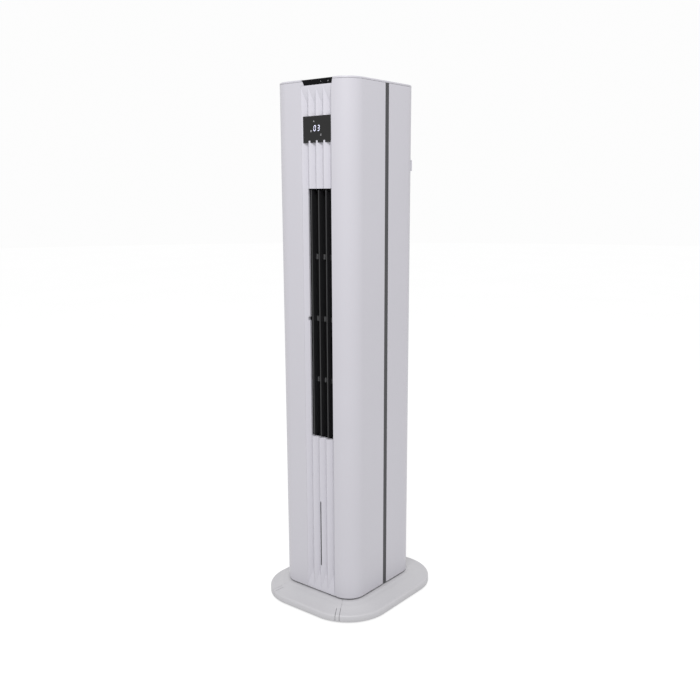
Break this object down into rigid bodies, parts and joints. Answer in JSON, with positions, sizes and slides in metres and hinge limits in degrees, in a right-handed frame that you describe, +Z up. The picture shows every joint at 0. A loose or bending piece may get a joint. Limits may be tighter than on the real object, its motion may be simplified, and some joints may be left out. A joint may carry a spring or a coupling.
{
  "type": "ceramic tower heater",
  "caption": "Tall slim tower heater on a wide weighted base, with a grooved front strip, a dark outlet with swinging upright vanes, a pull-out water tank and a rear intake grille.",
  "frame": {"origin": "middle of the base's footprint, on the floor", "axes": "+Z up along the tower, outlet towards -Y, +X to the viewer's right when facing the outlet"},
  "size_m": [0.297, 0.338, 1.1],
  "materials": {
    "white_shell": "satin moulded white plastic",
    "base_white": "satin moulded white plastic, slightly greyer",
    "trim_grey": "fine matt dark grey",
    "panel_black": "gloss black",
    "button_black": "satin black with a pale symbol",
    "outlet_black": "satin black",
    "bar_grey": "grey plastic",
    "inner_black": "matt black, heat resistant",
    "inner_grey": "matt grey",
    "level_smoke": "smoked clear window",
    "ceramic": "fired ceramic stones",
    "fins": "thin folded strip",
    "steel": "zinc plated",
    "bearing_bronze": "sintered bush",
    "rubber": "soft black rubber",
    "hose": "milky silicone",
    "pump_black": "satin black",
    "pad": "corrugated cellulose",
    "filter": "fine dark mesh",
    "board": "green circuit board"
  },
  "bodies": {
    "tower": {"front_shell": "white_shell", "rear_shell": "white_shell", "top_cover": "white_shell", "fascia": "white_shell", "handle_cup": "white_shell", "base_cover": "base_white", "base_front_segment": "base_white", "side_trim_left": "trim_grey", "side_trim_right": "trim_grey", "control_panel": "panel_black", "display_window": "panel_black", "outlet_frame": "outlet_black", "vane_bars": "bar_grey", "heater_frame": "inner_black", "scroll_wall": "inner_black", "cutoff_tongue": "inner_black", "motor_mounts": "inner_black", "tilt_switch": "inner_black", "cord_inlet": "inner_black", "chassis_floor": "inner_grey", "tank_deck": "inner_grey", "blower_deck": "inner_grey", "upper_deck": "inner_grey", "pad_frame": "inner_grey", "distribution_tray": "inner_grey", "base_plate": "inner_grey", "level_window": "level_smoke", "ceramic_elements": "ceramic", "heater_fins": "fins", "base_screws": "steel", "shell_screws": "steel", "ballast_plate": "steel", "swing_motor": "steel", "blower_motor": "steel", "thermal_cutout": "steel", "upper_bearing": "bearing_bronze", "rubber_feet": "rubber", "riser_hose": "hose", "cooling_pad": "pad", "control_board": "board", "power_board": "board", "display_board": "board"},
    "vane_left_blade": {"vane_left": "outlet_black"},
    "vane_middle_blade": {"vane_middle": "outlet_black"},
    "vane_right_blade": {"vane_right": "outlet_black"},
    "vane_link_bar": {"vane_link": "outlet_black"},
    "blower": {"blower_wheel": "inner_black", "blower_shafts": "steel"},
    "tank": {"water_tank": "white_shell", "pump_body": "pump_black"},
    "impeller": {"pump_impeller": "pump_black"},
    "rear_cover": {"rear_grille": "white_shell", "filter_mesh": "filter"},
    "key_power": {"button_power": "button_black"},
    "key_mode": {"button_mode": "button_black"},
    "key_speed": {"button_speed": "button_black"},
    "key_swing": {"button_swing": "button_black"},
    "key_timer": {"button_timer": "button_black"},
    "key_cool": {"button_cool": "button_black"}
  },
  "joints": [
    {"name": "vane_swing", "type": "hinge", "parent": "tower", "child": "vane_middle_blade", "pos_m": [0.016, -0.1, 0.64], "axis": [0, 0, 1], "range_deg": [-25, 25]},
    {"name": "vane_left_swing", "type": "hinge", "parent": "tower", "child": "vane_left_blade", "pos_m": [-0.003, -0.1, 0.64], "axis": [0, 0, 1], "range_deg": [-25, 25]},
    {"name": "vane_right_swing", "type": "hinge", "parent": "tower", "child": "vane_right_blade", "pos_m": [0.035, -0.1, 0.64], "axis": [0, 0, 1], "range_deg": [-25, 25]},
    {"name": "link_pivot", "type": "hinge", "parent": "vane_middle_blade", "child": "vane_link_bar", "pos_m": [0.016, -0.084, 0.3775], "axis": [0, 0, 1], "range_deg": [-25, 25]},
    {"name": "blower_spin", "type": "hinge", "parent": "tower", "child": "blower", "pos_m": [0, 0, 0.63], "axis": [0, 0, 1], "continuous": true},
    {"name": "tank_slide", "type": "slide", "parent": "tower", "child": "tank", "axis": [0, 1, 0], "range_m": [0, 0.2]},
    {"name": "impeller_spin", "type": "hinge", "parent": "tank", "child": "impeller", "pos_m": [-0.054, -0.066, 0.06], "axis": [0, 0, 1], "continuous": true},
    {"name": "rear_cover_pull", "type": "slide", "parent": "tower", "child": "rear_cover", "axis": [0, 1, 0], "range_m": [0, 0.09]},
    {"name": "press_power", "type": "slide", "parent": "tower", "child": "key_power", "axis": [0, 0, -1], "range_m": [0, 0.0008], "stiffness_N_per_m": 800, "springref_m": -0.0005},
    {"name": "press_mode", "type": "slide", "parent": "tower", "child": "key_mode", "axis": [0, 0, -1], "range_m": [0, 0.0008], "stiffness_N_per_m": 800, "springref_m": -0.0005},
    {"name": "press_speed", "type": "slide", "parent": "tower", "child": "key_speed", "axis": [0, 0, -1], "range_m": [0, 0.0008], "stiffness_N_per_m": 800, "springref_m": -0.0005},
    {"name": "press_swing", "type": "slide", "parent": "tower", "child": "key_swing", "axis": [0, 0, -1], "range_m": [0, 0.0008], "stiffness_N_per_m": 800, "springref_m": -0.0005},
    {"name": "press_timer", "type": "slide", "parent": "tower", "child": "key_timer", "axis": [0, 0, -1], "range_m": [0, 0.0008], "stiffness_N_per_m": 800, "springref_m": -0.0005},
    {"name": "press_cool", "type": "slide", "parent": "tower", "child": "key_cool", "axis": [0, 0, -1], "range_m": [0, 0.0008], "stiffness_N_per_m": 800, "springref_m": -0.0005}
  ],
  "couplings": [
    {"joint": "vane_left_swing", "follows": "vane_swing", "ratio": 1},
    {"joint": "vane_right_swing", "follows": "vane_swing", "ratio": 1},
    {"joint": "link_pivot", "follows": "vane_swing", "ratio": -1}
  ]
}
